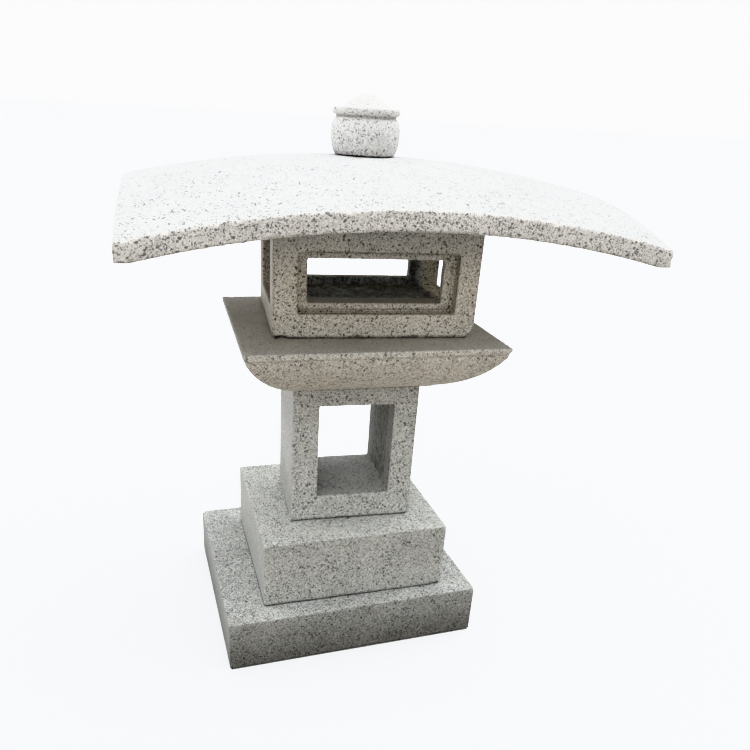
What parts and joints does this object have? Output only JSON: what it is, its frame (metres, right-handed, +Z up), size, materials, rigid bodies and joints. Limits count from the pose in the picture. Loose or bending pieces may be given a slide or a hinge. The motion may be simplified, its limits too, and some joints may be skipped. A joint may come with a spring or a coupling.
{
  "type": "stone lantern",
  "caption": "Garden lantern of stacked granite stones: stepped plinth, pierced post, platform, open fire box with windows, wide bowed roof and turned finial. Each stone lifts off the one below.",
  "frame": {"origin": "middle of the lower base's underside, on the ground", "axes": "+Z up, -Y towards the front that the wide post opening and the framed window face, +X to the right seen from the front"},
  "size_m": [1.026, 0.856, 1.2021],
  "materials": {
    "granite_plinth": "speckled grey granite, bush-hammered faces, sawn sides, slightly chipped edges",
    "granite_post": "speckled grey granite, bush-hammered",
    "granite_platform": "speckled grey-beige granite, smooth sawn top, bush-hammered underside",
    "granite_fire_box": "speckled warm grey granite, bush-hammered, dark roughly chiselled inside",
    "granite_roof": "pale speckled granite, finely bush-hammered",
    "granite_finial": "pale speckled granite, turned and finely bush-hammered",
    "dowel_steel": "plain drawn stainless steel bar"
  },
  "bodies": {
    "lower_base": {"lower_base": "granite_plinth", "base_dowel": "dowel_steel"},
    "upper_base": {"upper_base": "granite_plinth", "post_foot_dowel": "dowel_steel"},
    "post": {"post": "granite_post", "post_head_dowel": "dowel_steel"},
    "platform": {"platform": "granite_platform", "fire_box_dowel": "dowel_steel"},
    "fire_box": {"fire_box": "granite_fire_box"},
    "roof": {"roof": "granite_roof"},
    "finial": {"finial": "granite_finial"}
  },
  "joints": [
    {"name": "lift_upper_base", "type": "slide", "parent": "lower_base", "child": "upper_base", "axis": [0, 0, 1], "range_m": [0, 0.06]},
    {"name": "lift_post", "type": "slide", "parent": "upper_base", "child": "post", "axis": [0, 0, 1], "range_m": [0, 0.06]},
    {"name": "lift_platform", "type": "slide", "parent": "post", "child": "platform", "axis": [0, 0, 1], "range_m": [0, 0.06]},
    {"name": "lift_fire_box", "type": "slide", "parent": "platform", "child": "fire_box", "axis": [0, 0, 1], "range_m": [0, 0.06]},
    {"name": "lift_roof", "type": "slide", "parent": "fire_box", "child": "roof", "axis": [0, 0, 1], "range_m": [0, 0.08]},
    {"name": "lift_finial", "type": "slide", "parent": "roof", "child": "finial", "axis": [0, 0, 1], "range_m": [0, 0.06]}
  ]
}
